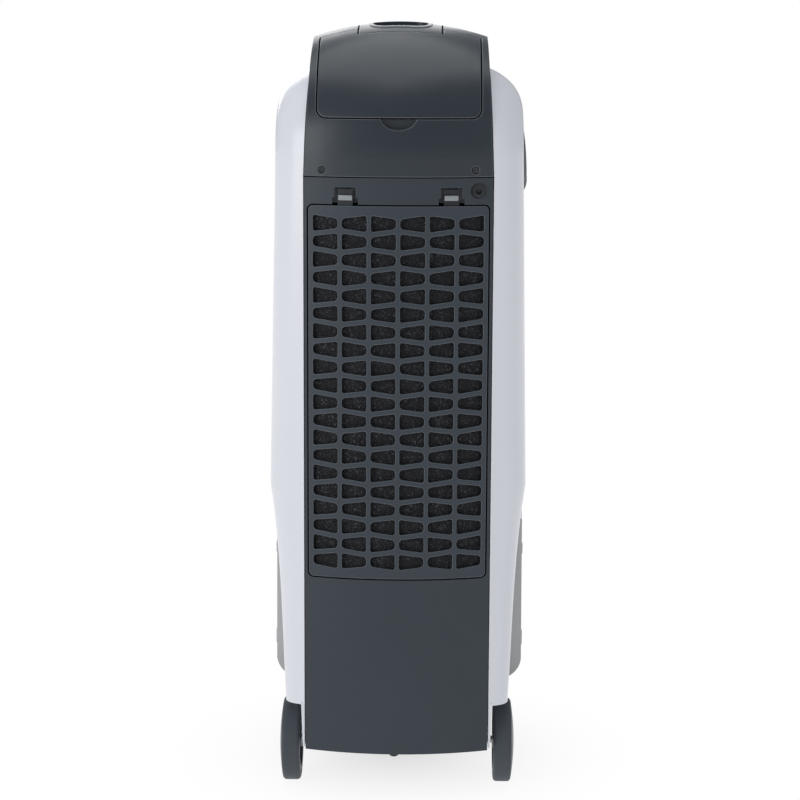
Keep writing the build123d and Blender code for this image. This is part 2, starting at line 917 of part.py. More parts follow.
def make_louvre(index):
    # Horizontal blade with end pins, and a crank at its rear for the link.
    z = louvre_z(index)
    half = duct_half - 1.0
    ahead = louvre_y - louvre_chord * 0.8
    behind = louvre_y + louvre_chord * 0.2
    section = bar((ahead, z), (behind, z), blade_thickness) + Pos(louvre_y, z) * Circle(2.4)
    blade = along_x(section, -half, half)
    pin_end = duct_half + duct_wall + 1
    blade += rod((-pin_end, louvre_y, z), (pin_end, louvre_y, z), pin_radius)
    crank = bar((louvre_y, z), (louvre_y + crank_reach, z), 5.0)
    blade += along_x(crank, 0, link_thickness)
    start = (link_thickness, louvre_y + crank_reach, z)
    return blade + rod(start, (2 * link_thickness + 0.3, louvre_y + crank_reach, z), pin_radius)


def make_louvre_link():
    y = louvre_y + crank_reach
    outline = bar((y, louvre_z(0)), (y, louvre_z(louvre_count - 1)), link_width)
    for index in range(louvre_count):
        outline -= Pos(y, louvre_z(index)) * Circle(pin_radius + bearing_clearance)
    return along_x(outline, link_thickness + 0.3, 2 * link_thickness + 0.3)


def make_vane(index):
    # Upright blade with end pins, and a crank near the duct's floor for the link.
    x = vane_x(index)
    ahead = vane_y - vane_chord * 0.85
    behind = vane_y + vane_chord * 0.15
    low = duct_floor + 1.0
    section = bar((x, ahead), (x, behind), blade_thickness) + Pos(x, vane_y) * Circle(2.4)
    vane = along_z(section, low, duct_roof - 1.0)
    vane += rod((x, vane_y, outlet_base - 3.5), (x, vane_y, outlet_top + 1), pin_radius)
    crank_y = vane_y + crank_reach
    crank = bar((x, vane_y), (x, crank_y), 5.0)
    shelf = low + 0.5 + link_thickness + 0.3
    vane += along_z(crank, shelf, shelf + link_thickness)
    return vane + rod((x, crank_y, low + 0.5), (x, crank_y, shelf), pin_radius)


def make_vane_link():
    y = vane_y + crank_reach
    outline = bar((vane_x(0), y), (vane_x(vane_count - 1), y), link_width)
    for index in range(vane_count):
        outline -= Pos(vane_x(index), y) * Circle(pin_radius + bearing_clearance)
    low = duct_floor + 1.5
    return along_z(outline, low, low + link_thickness)


def make_swing_motor():
    x = vane_x(0)
    motor = rod((x, vane_y, outlet_base - 19), (x, vane_y, outlet_base), 13)
    motor += block(x - 4, x + 4, vane_y - 20, vane_y + 20, outlet_base - 2.5, outlet_base)
    return motor - rod((x, vane_y, outlet_base - 5), (x, vane_y, sky), pin_radius + bearing_clearance)


# Blower

def scroll_sketch(inset):
    radius = scroll_radius - inset
    top = outlet_top + 2 - inset
    outline = Pos(0, blower_z) * Circle(radius)
    return outline + Pos(0, (blower_z + top) / 2) * Rectangle(2 * radius, top - blower_z)


def make_housing(rear_half):
    front = housing_front()
    rear = plenum_y()
    split = (front + rear) / 2
    shell = along_y(scroll_sketch(0), front, rear)
    shell -= along_y(scroll_sketch(duct_wall), front + duct_wall, rear - duct_wall)
    centre_low = (0, front - 1, blower_z)
    if rear_half:
        shell -= rod((0, split, blower_z), (0, rear + 1, blower_z), inlet_radius)
        return shell & block(-wing, wing, split, rear, 0, sky)
    shell -= rod(centre_low, (0, split, blower_z), motor_radius - 8)
    shell -= along_y(outlet_sketch(duct_wall), front - 1, front + 2 * duct_wall)
    return shell & block(-wing, wing, front, split, 0, sky)


def make_blower_wheel():
    front = housing_front() + duct_wall + wheel_running_gap
    rear = front + wheel_depth
    wheel = rod((0, front, blower_z), (0, front + 2.5, blower_z), wheel_radius)
    wheel += rod((0, front, blower_z), (0, front + 22, blower_z), shaft_radius + 8)
    ring = Pos(0, blower_z) * (Circle(wheel_radius) - Circle(wheel_radius - 12))
    wheel += along_y(ring, rear - 3, rear)
    blade = Pos(wheel_radius - 7, 0) * Rot(0, 0, 35) * Rectangle(13, 1.6)
    fan = Sketch() + [Rot(0, 0, 360 / blade_count * index) * blade for index in range(blade_count)]
    wheel += along_y(Pos(0, blower_z) * fan, front + 2, rear - 2)
    return wheel - rod((0, front - 1, blower_z), (0, front + 30, blower_z), shaft_radius)


def make_blower_motor():
    rear = housing_front()
    front = rear - motor_depth
    motor = rod((0, rear - 3, blower_z), (0, rear, blower_z), motor_radius + 8)
    motor += rod((0, front, blower_z), (0, rear - 3, blower_z), motor_radius)
    motor += rod((0, front - 5, blower_z), (0, front, blower_z), motor_radius * 0.45)
    return motor - rod((0, front - 9, blower_z), (0, rear + 1, blower_z), shaft_radius + bearing_clearance)


def make_blower_shaft():
    start = housing_front() - motor_depth - 7
    end = housing_front() + duct_wall + wheel_running_gap + 22
    return rod((0, start, blower_z), (0, end, blower_z), shaft_radius)


# Wet side

def make_intake_frame():
    # Plate between the plenum and the blower, with a sill under the cassette.
    low = cassette_base - cassette_float - 10
    front = plenum_y()
    half = spine_half - wall
    high = cassette_top + 8 + distributor_height + 4
    frame = block(-half, half, front, front + intake_plate, low, high)
    frame -= rod((0, front - 1, blower_z), (0, front + 9, blower_z), inlet_radius)
    sill_rear = cassette_rear() - 2
    frame += block(-cassette_half, cassette_half, front, sill_rear, low, low + 10)
    stop = cassette_rear() - cassette_depth - cassette_float
    frame += block(-cassette_half, cassette_half, stop - 3, stop, low + 10, low + 22)
    slots = 5
    for index in range(slots):
        x = (index - (slots - 1) / 2) * 2 * cassette_half / slots
        frame -= block(x - 12, x + 12, stop + 8, sill_rear - 6, low - 1, low + 11)
    x, y = hose_line()
    return frame - rod((x, y, low - 1), (x, y, low + 30), hose_radius + 1)


def make_distributor():
    low = cassette_top + 8
    high = low + distributor_height
    rear = cassette_rear() - 3
    front = cassette_rear() - cassette_depth
    half = cassette_half - 2
    trough = block(-half, half, front, rear, low, high)
    inner = half - distributor_wall
    floor = low + distributor_wall
    trough -= block(-inner, inner, front + distributor_wall, rear - distributor_wall, floor, sky)
    trough += block(-half, half, plenum_y() + intake_plate, front + 1, high - 2.5, high)
    for index in range(drip_count):
        x = (index - (drip_count - 1) / 2) * 2 * inner / drip_count
        trough -= rod((x, (front + rear) / 2, low - 1), (x, (front + rear) / 2, low + 5), drip_radius)
    x, y = hose_line()
    return trough - rod((x, front - 5, low + 9), (x, front + 5, low + 9), hose_bore)


def hose_line():
    # Upright run of the pump hose, in the plenum beside the housing.
    return -(cassette_half - 8), cassette_rear() - cassette_depth - plenum_depth / 2


def pump_place():
    x, y = hose_line()
    return x + 31, y - 6, base_top + sump_wall


def make_hose():
    px, py, pz = pump_place()
    x, y = hose_line()
    start = (px, py, pz + pump_height)
    end_z = cassette_top + 8 + 9
    end = (x, cassette_rear() - cassette_depth, end_z)
    points = [start, (px, py, start[2] + 30), (x, y, start[2] + 62), (x, y, end_z), end]
    line = FilletPolyline(*points, radius=[20, 20, 14])
    ring = Plane(origin=start, z_dir=(0, 0, 1)) * (Circle(hose_radius) - Circle(hose_bore))
    return sweep(ring, path=line)


def make_pump():
    x, y, z = pump_place()
    half = pump_size / 2
    pump = block(x - half, x + half, y - half, y + half, z, z + pump_height - 8)
    pump += rod((x, y, z + pump_height - 8), (x, y, z + pump_height), hose_radius)
    pump -= rod((x, y, z - 1), (x, y, z + 16), impeller_radius + 2)
    pump -= rod((x, y, z), (x, y, z + 28), 1.5 + bearing_clearance)
    pump -= rod((x + 9, y, z + 10), (x + 9, y, z + pump_height - 14), hose_bore)
    return pump - block(x, x + half + 1, y - 3, y + 3, z - 1, z + 4)


def make_impeller():
    x, y, z = pump_place()
    wheel = rod((x, y, z + 4), (x, y, z + 6), impeller_radius)
    for index in range(6):
        vane = Pos(x, y, z + 9.5) * Rot(0, 0, 60 * index) * Pos(impeller_radius / 2, 0, 0)
        wheel += vane * Box(impeller_radius - 1, 1.5, 8)
    return wheel + rod((x, y, z + 4), (x, y, z + 26), 1.5)


def make_sump():
    half = spine_half - wall - sump_side_gap
    rear = bulge_y(half, wall) - sump_rear_gap
    high = base_top + sump_height
    front = -tank_back + bay_clearance + wall + 1
    tray = block(-half, half, front, rear, base_top, high)
    inner = half - sump_wall
    tray -= block(-inner, inner, front + sump_wall, rear - sump_wall, base_top + sump_wall, sky)
    x, y = drain_offset, rear_y - drain_inset
    tray += rod((x, y, base_top + sump_wall), (x, y, base_top + sump_wall + 4), drain_radius + 3)
    return tray - rod((x, y, 0), (x, y, high), drain_radius + bearing_clearance)


def make_drain_plug():
    x, y = drain_offset, rear_y - drain_inset
    top = base_top + sump_wall + 3
    plug = rod((x, y, plate_z - 1), (x, y, top), drain_radius)
    knob = rod((x, y, plate_z - drain_drop), (x, y, plate_z - 0.3), drain_knob)
    knob = fillet(knob.faces().sort_by(Axis.Z)[0].edges(), drain_knob * 0.65)
    return plug + knob


# Tank

def tank_plan(reach, inset):
    # Rear edge straight, flanks, rounded front corners and a bulged front.
    edge = -spine_edge_y
    slack = inset / cos(atan2(facet_slope, 1))
    outer = reach - inset
    back = -tank_back - inset
    start_x = spine_half
    near = edge + slack
    far = edge + facet_slope * (outer - spine_half) + slack
    radius = corner_share * (reach - spine_half) - inset
    right = FilletPolyline((start_x, near), (outer, far), (outer, back), radius=radius)
    left = FilletPolyline((-outer, back), (-outer, far), (-start_x, near), radius=radius)
    rear_edge = Line((outer, back), (-outer, back))
    nose = ThreePointArc((-start_x, near), (0, front_y + inset), (start_x, near))
    return make_face([*right.edges(), *rear_edge.edges(), *left.edges(), *nose.edges()])


def tank_solid(inset):
    low = tank_z + inset
    top_reach = spine_half + tank_reach_top
    low_reach = spine_half + tank_reach_bottom
    bottom = Pos(0, 0, low) * tank_plan(low_reach, inset)
    brim = Pos(0, 0, tank_top) * tank_plan(top_reach, inset)
    body = loft([bottom, brim], ruled=True)
    tall = tank_height + 2 * tank_corner
    view = Pos(0, low + tall / 2) * RectangleRounded(2 * (low_reach - inset), tall, tank_corner - inset)
    return body & along_y(view, -wing * 2, wing)


def make_tank():
    tank = tank_solid(0) - tank_solid(tank_wall)
    # Guide ribs for the float, behind the level gauge.
    gap = float_radius + 0.6
    inside = front_y + tank_wall
    for side in (-1, 1):
        x0, x1 = sorted((side * gap, side * (gap + 2)))
        rib = block(x0, x1, inside - 2, inside + 2 * float_radius, tank_z + tank_wall, tank_top - 20)
        tank += rib & tank_solid(tank_wall / 2)
    tank -= gauge_space()
    # Grip under the front rim.
    grip_z = tank_top - 26
    grip = Pos(0, grip_z) * RectangleRounded(110, 22, 8)
    pocket = along_y(Pos(0, grip_z) * RectangleRounded(116, 28, 10), front_y - 5, front_y + 24)
    tank += pocket & tank_solid(tank_wall / 2)
    return tank - along_y(grip, front_y - 5, front_y + 24 - tank_wall)


def gauge_space():
    z = tank_z + gauge_rise + gauge_height / 2
    return along_y(Pos(0, z) * SlotOverall(gauge_height, gauge_width, rotation=90), front_y - 5, front_y + 10)


def make_gauge():
    layer = tank_solid(0) - tank_solid(tank_wall)
    return layer & gauge_space()


def make_float():
    y = front_y + tank_wall + 1 + float_radius
    z = tank_z + tank_wall + 0.4
    piece = rod((0, y, z), (0, y, z + float_height), float_radius)
    ends = piece.faces().sort_by(Axis.Z)
    return fillet(ends[0].edges() + ends[-1].edges(), 3)


def make_catches():
    catches = []
    for rise, tall in catch_heights:
        z = tank_z + rise
        reach = spine_half + tank_reach_bottom + (tank_reach_top - tank_reach_bottom) * rise / tank_height
        outline = Pos(-tank_back - 6, z) * SlotOverall(tall, 10, rotation=90)
        button = along_x(outline, reach, reach + 1)
        catches += [button, flip(button)]
    return Part() + catches - tank_solid(0)


# Base, frame, feet and wheels

def make_inner_frame():
    # Side walls inside the side panels, the tank bay's rear wall and its roof.
    front = fascia_y + seam_gap / 2
    frame = spine_shell & block(-wing, wing, front, return_y - seam_gap / 2, base_top, seam_z - seam_gap / 2)
    back = -tank_back + bay_clearance
    frame -= block(-wing, wing, -wing * 2, back, 0, bay_top)
    half = spine_half - wall
    frame += block(-half, half, back, back + wall, base_top, bay_top + wall)
    frame += block(-half, half, front, back + wall, bay_top, bay_top + wall) & spine_outer
    return frame


def foot_places():
    for side in (-1, 1):
        yield side * (spine_half - wall - plinth_inset - foot_radius - 6), front_y + foot_setback


def make_base():
    plate = along_z(spine_plan(wall), plate_z, base_top)
    half = spine_half - wall - plinth_inset
    front = front_y + plinth_setback
    base = plate & block(-wing, wing, front, wing * 2, 0, sky)
    # Plinth open below, with a boss over each foot.
    plinth = block(-half, half, front, front + plinth_length, foot_height, plate_z)
    plinth -= block(-half + wall, half - wall, front + wall, front + plinth_length - wall, 0, plate_z)
    for x, y in foot_places():
        plinth += rod((x, y, foot_height), (x, y, plate_z), foot_radius)
    base += plinth
    for side in (-1, 1):
        x = side * half * 0.75
        rail_top = tank_z - tank_float
        base += block(x - tank_rail / 2, x + tank_rail / 2, front, -tank_back - 2, base_top, rail_top)
        x0, x1 = sorted((side * (half + 5), side * (half + 5 - bracket_width)))
        bracket = block(x0, x1, axle_y - 9, axle_y + 9, axle_z - 9, plate_z + 1)
        base += bracket
    base -= rod((-wing, axle_y, axle_z), (wing, axle_y, axle_z), axle_radius)
    x, y = drain_offset, rear_y - drain_inset
    return base - rod((x, y, 0), (x, y, sky), drain_radius + bearing_clearance)


def make_feet():
    feet = []
    for x, y in foot_places():
        foot = rod((x, y, 0), (x, y, foot_height), foot_radius)
        feet.append(chamfer(foot.faces().sort_by(Axis.Z)[0].edges(), 1.5))
    return Part() + feet


def axle_reach():
    return wheel_offset + wheel_width - 3


def make_axle():
    return rod((-axle_reach(), axle_y, axle_z), (axle_reach(), axle_y, axle_z), axle_radius)


def make_tyre():
    x0 = wheel_offset
    x1 = wheel_offset + wheel_width
    tyre = rod((x0, axle_y, axle_z), (x1, axle_y, axle_z), wheel_diameter / 2)
    ends = tyre.faces().sort_by(Axis.X)
    tyre = fillet(ends[0].edges() + ends[-1].edges(), 4)
    return tyre - rod((x0 - 1, axle_y, axle_z), (x1 + 1, axle_y, axle_z), rim_diameter / 2)


def make_hub():
    x0 = wheel_offset
    x1 = wheel_offset + wheel_width
    hub = rod((x0, axle_y, axle_z), (x1, axle_y, axle_z), rim_diameter / 2)
    recess = Circle(rim_diameter / 2 - 4) - Circle(axle_radius + 6)
    hub -= along_x(Pos(axle_y, axle_z) * recess, x0, x1 - 6)
    chord = dome_diameter / 2
    tip = (x1 + dome_height, axle_y)
    rim = (x1, axle_y + chord)
    crest = ThreePointArc(tip, (x1 + dome_height * 0.76, axle_y + chord / 2), rim)
    sides = Polyline(rim, (x1, axle_y), tip)
    dome = Pos(0, 0, axle_z) * make_face([*crest.edges(), *sides.edges()])
    hub += revolve(dome, Axis((0, axle_y, axle_z), (1, 0, 0)), 360)
    bore = axle_radius + bearing_clearance
    return hub - rod((x0 - 1, axle_y, axle_z), (axle_reach() + 0.5, axle_y, axle_z), bore)


def write(name, part):
    solids = part.solids()
    shape = solids[0] if len(solids) == 1 else Compound(children=solids)
    shape.label = name
    export_step(shape, "parts/" + name + ".step")


os.makedirs("parts", exist_ok=True)

side_panel = make_side_panel()
grip = make_grip()
tyre = make_tyre()
hub = make_hub()

write("base_chassis", make_base())
write("front_feet", make_feet())
write("wheel_axle", make_axle())
write("sump_tray", make_sump())
write("drain_plug", make_drain_plug())
write("inner_frame", make_inner_frame())
write("side_panel_right", side_panel)
write("side_panel_left", flip(side_panel))
write("side_grip_right", grip)
write("side_grip_left", flip(grip))
write("wheel_tyre_right", tyre)
write("wheel_tyre_left", flip(tyre))
write("wheel_hub_right", hub)
write("wheel_hub_left", flip(hub))

write("rear_panel", make_rear_panel())
write("cord_gland", make_gland())
write("rear_grille", make_grille())
write("grille_latches", make_latches())
write("dust_filter", make_filter())
write("pad_frame", make_pad_frame())
write("cooling_pad", make_pad())

write("upper_cover", make_upper_cover())
write("cover_screws", make_screws())
write("lid", make_lid())
write("ice_bin", make_ice_bin())
write("top_handle", make_top_handle())
write("control_panel", make_control_panel())
write("display_window", make_window())
write("control_board", make_board())
for number in range(button_count):
    write("button_" + str(number + 1), make_button(number))

write("front_fascia", make_fascia())
write("outlet_duct", make_duct())
for number in range(louvre_count):
    write("louvre_blade_" + str(number + 1), make_louvre(number))
write("louvre_link", make_louvre_link())
for number in range(vane_count):
    write("swing_vane_" + str(number + 1), make_vane(number))
write("swing_link", make_vane_link())
write("swing_motor", make_swing_motor())

write("blower_housing_front", make_housing(False))
write("blower_housing_rear", make_housing(True))
write("blower_wheel", make_blower_wheel())
write("blower_shaft", make_blower_shaft())
write("blower_motor", make_blower_motor())
write("air_intake_frame", make_intake_frame())
write("water_distributor", make_distributor())
write("pump_body", make_pump())
write("pump_impeller", make_impeller())
write("pump_hose", make_hose())

write("water_tank", make_tank())
write("tank_catches", make_catches())
write("tank_gauge", make_gauge())
write("tank_float", make_float())
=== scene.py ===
import json
import math

import bpy
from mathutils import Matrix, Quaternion, Vector


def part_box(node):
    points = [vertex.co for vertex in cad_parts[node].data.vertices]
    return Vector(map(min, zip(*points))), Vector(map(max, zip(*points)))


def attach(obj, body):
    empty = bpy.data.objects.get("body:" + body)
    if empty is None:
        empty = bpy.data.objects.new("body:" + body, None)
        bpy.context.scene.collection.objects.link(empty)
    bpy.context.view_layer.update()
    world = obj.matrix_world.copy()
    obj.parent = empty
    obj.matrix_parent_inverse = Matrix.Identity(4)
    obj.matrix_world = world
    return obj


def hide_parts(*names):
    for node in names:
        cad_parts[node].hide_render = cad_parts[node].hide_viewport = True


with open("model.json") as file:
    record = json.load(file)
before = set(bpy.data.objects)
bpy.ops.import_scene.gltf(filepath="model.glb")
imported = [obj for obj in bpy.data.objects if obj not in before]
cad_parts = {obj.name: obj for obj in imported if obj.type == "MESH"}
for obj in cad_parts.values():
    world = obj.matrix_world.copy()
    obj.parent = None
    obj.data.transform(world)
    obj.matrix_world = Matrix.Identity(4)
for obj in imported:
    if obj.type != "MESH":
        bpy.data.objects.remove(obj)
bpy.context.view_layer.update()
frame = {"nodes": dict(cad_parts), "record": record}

nodes = frame["nodes"]
slotOf = {part["node"]: part["material_slot"] for part in frame["record"]["subparts"]}
print("frame loaded:", len(nodes), "nodes")


cameraSetup = {
    "place": (-0.039, 2.509, 0.839),
    "aim": (0.0, 0.0, 0.4147),
    "roll": 0.25,          # degrees
    "lens": 100.1,         # mm on a 36 mm sensor
}

worldSetup = {"backdrop": (1.0, 1.0, 1.0), "ambient": (0.93, 0.96, 1.0), "ambientStrength": 0.42}

lightSetup = {
    "keyLeft": {"place": (2.5, 2.1, 1.3), "aim": (0, 0, 0.5), "size": 2.0, "power": 33},
    "fillRight": {"place": (-2.4, 1.4, 1.2), "aim": (0, 0, 0.4), "size": 1.8, "power": 3},
    "overhead": {"place": (0.1, -0.1, 2.7), "aim": (0, 0, 0.4), "size": 2.2, "power": 22},
    "frontSoft": {"place": (0.6, -2.6, 1.7), "aim": (0, 0, 0.45), "size": 1.8, "power": 20},
}


def aimAt(item, target):
    away = Vector(item.location) - Vector(target)
    item.rotation_mode = "QUATERNION"
    item.rotation_quaternion = away.to_track_quat("Z", "Y")


def makeCamera():
    bpy.ops.object.camera_add(location=cameraSetup["place"])
    camera = bpy.context.object
    camera.name = "rearCamera"
    camera.data.sensor_width = 36
    camera.data.lens = cameraSetup["lens"]
    aimAt(camera, cameraSetup["aim"])
    roll = Quaternion((0, 0, 1), math.radians(cameraSetup["roll"]))
    camera.rotation_quaternion = camera.rotation_quaternion @ roll
    camera.data.clip_end = 60
    bpy.context.scene.camera = camera


def makeLights():
    for name, setup in lightSetup.items():
        bpy.ops.object.light_add(type="AREA", location=setup["place"])
        lamp = bpy.context.object
        lamp.name = name
        lamp.data.size = setup["size"]
        lamp.data.energy = setup["power"]
        aimAt(lamp, setup["aim"])


def makeWorld():
    world = bpy.data.worlds.new("softStudio")
    bpy.context.scene.world = world
    world.use_nodes = True
    tree = world.node_tree
    tree.nodes.clear()
    seen = tree.nodes.new("ShaderNodeBackground")
    seen.inputs["Color"].default_value = (*worldSetup["backdrop"], 1)
    seen.inputs["Strength"].default_value = 1.0
    lighting = tree.nodes.new("ShaderNodeBackground")
    lighting.inputs["Color"].default_value = (*worldSetup["ambient"], 1)
    lighting.inputs["Strength"].default_value = worldSetup["ambientStrength"]
    rays = tree.nodes.new("ShaderNodeLightPath")
    mix = tree.nodes.new("ShaderNodeMixShader")
    out = tree.nodes.new("ShaderNodeOutputWorld")
    tree.links.new(rays.outputs["Is Camera Ray"], mix.inputs["Fac"])
    tree.links.new(lighting.outputs[0], mix.inputs[1])
    tree.links.new(seen.outputs[0], mix.inputs[2])
    tree.links.new(mix.outputs[0], out.inputs["Surface"])
    bpy.context.scene.view_settings.view_transform = "Standard"


makeCamera()
makeLights()
makeWorld()
print("camera and lights set")


def addNode(tree, kind, **settings):
    made = tree.nodes.new(kind)
    for key, value in settings.items():
        setattr(made, key, value)
    return made


def startGroup(name, inputs, outputs):
    tree = bpy.data.node_groups.new(name, "ShaderNodeTree")
    for label, kind, value in inputs:
        socket = tree.interface.new_socket(name=label, in_out="INPUT", socket_type="NodeSocket" + kind)
        if value is not None:
            socket.default_value = value
    for label, kind in outputs:
        tree.interface.new_socket(name=label, in_out="OUTPUT", socket_type="NodeSocket" + kind)
    return tree, tree.nodes.new("NodeGroupInput"), tree.nodes.new("NodeGroupOutput")


def placeGroup(tree, group, **values):
    made = tree.nodes.new("ShaderNodeGroup")
    made.node_tree = group
    for label, value in values.items():
        made.inputs[label].default_value = value
    return made


def rangeNode(tree, low, high, source):
    made = addNode(tree, "ShaderNodeMapRange")
    made.inputs["From Min"].default_value = low
    made.inputs["From Max"].default_value = high
    tree.links.new(source, made.inputs["Value"])
    return made


def makeEdgeGroup():
    tree, wayIn, wayOut = startGroup(
        "softEdge",
        [("Radius", "Float", 0.0006)],
        [("Normal", "Vector"), ("Mask", "Float")],
    )
    links = tree.links
    bevel = addNode(tree, "ShaderNodeBevel", samples=6)
    links.new(wayIn.outputs["Radius"], bevel.inputs["Radius"])
    flat = addNode(tree, "ShaderNodeNewGeometry")
    dot = addNode(tree, "ShaderNodeVectorMath", operation="DOT_PRODUCT")
    links.new(bevel.outputs["Normal"], dot.inputs[0])
    links.new(flat.outputs["Normal"], dot.inputs[1])
    # the mask picks out the rounded edges, where the edge colour is painted on as a highlight
    paintedEdgeHighlight = rangeNode(tree, 0.985, 0.86, dot.outputs["Value"])
    links.new(bevel.outputs["Normal"], wayOut.inputs["Normal"])
    links.new(paintedEdgeHighlight.outputs["Result"], wayOut.inputs["Mask"])
    return tree


def makeGrainGroup():
    tree, wayIn, wayOut = startGroup(
        "mouldedSkin",
        [
            ("Colour", "Color", (0.5, 0.5, 0.5, 1)),
            ("Edge highlight colour", "Color", (0.6, 0.6, 0.6, 1)),
            ("Edge highlight mask", "Float", 0.0),
            ("Tone", "Float", 0.06),
            ("Roughness", "Float", 0.5),
            ("Spread", "Float", 0.08),
            ("Grain scale", "Float", 1500.0),
            ("Grain depth", "Float", 0.00004),
            ("Normal", "Vector", None),
        ],
        [("Colour", "Color"), ("Roughness", "Float"), ("Normal", "Vector")],
    )
    links = tree.links
    coords = addNode(tree, "ShaderNodeTexCoord")
    broad = addNode(tree, "ShaderNodeTexNoise")
    broad.inputs["Scale"].default_value = 7
    broad.inputs["Detail"].default_value = 3
    links.new(coords.outputs["Object"], broad.inputs["Vector"])
    fine = addNode(tree, "ShaderNodeTexNoise")
    fine.inputs["Detail"].default_value = 2
    links.new(coords.outputs["Object"], fine.inputs["Vector"])
    links.new(wayIn.outputs["Grain scale"], fine.inputs["Scale"])
    mid = addNode(tree, "ShaderNodeTexNoise")
    mid.inputs["Scale"].default_value = 55
    mid.inputs["Detail"].default_value = 4
    links.new(coords.outputs["Object"], mid.inputs["Vector"])

    # colour: a slow drift in tone, a little speckle, and a painted highlight along the edges
    drift = rangeNode(tree, 0.3, 0.7, broad.outputs["Fac"])
    drift.inputs["To Min"].default_value = -1
    speckle = rangeNode(tree, 0.35, 0.65, fine.outputs["Fac"])
    speckle.inputs["To Min"].default_value = -1
    both = addNode(tree, "ShaderNodeMath", operation="MULTIPLY_ADD")
    both.inputs[1].default_value = 0.35
    links.new(speckle.outputs["Result"], both.inputs[0])
    links.new(drift.outputs["Result"], both.inputs[2])
    amount = addNode(tree, "ShaderNodeMath", operation="MULTIPLY_ADD")
    amount.inputs[2].default_value = 1
    links.new(both.outputs[0], amount.inputs[0])
    links.new(wayIn.outputs["Tone"], amount.inputs[1])
    toned = addNode(tree, "ShaderNodeVectorMath", operation="SCALE")
    links.new(wayIn.outputs["Colour"], toned.inputs[0])
    links.new(amount.outputs[0], toned.inputs["Scale"])
    edged = addNode(tree, "ShaderNodeMix", data_type="RGBA")
    links.new(wayIn.outputs["Edge highlight mask"], edged.inputs["Factor"])
    links.new(toned.outputs[0], edged.inputs["A"])
    links.new(wayIn.outputs["Edge highlight colour"], edged.inputs["B"])
    links.new(edged.outputs["Result"], wayOut.inputs["Colour"])

    # roughness: handled and rubbed patches
    rub = rangeNode(tree, 0.3, 0.7, mid.outputs["Fac"])
    rub.inputs["To Min"].default_value = -1
    rough = addNode(tree, "ShaderNodeMath", operation="MULTIPLY_ADD")
    links.new(rub.outputs["Result"], rough.inputs[0])
    links.new(wayIn.outputs["Spread"], rough.inputs[1])
    links.new(wayIn.outputs["Roughness"], rough.inputs[2])
    links.new(rough.outputs[0], wayOut.inputs["Roughness"])

    bump = addNode(tree, "ShaderNodeBump")
    bump.inputs["Strength"].default_value = 1
    links.new(fine.outputs["Fac"], bump.inputs["Height"])
    links.new(wayIn.outputs["Grain depth"], bump.inputs["Distance"])
    links.new(wayIn.outputs["Normal"], bump.inputs["Normal"])
    links.new(bump.outputs["Normal"], wayOut.inputs["Normal"])
    return tree


softEdge = makeEdgeGroup()
mouldedSkin = makeGrainGroup()


def startMaterial(name):
    made = bpy.data.materials.new(name)
    made.use_nodes = True
    shader = made.node_tree.nodes["Principled BSDF"]
    return made, made.node_tree, shader
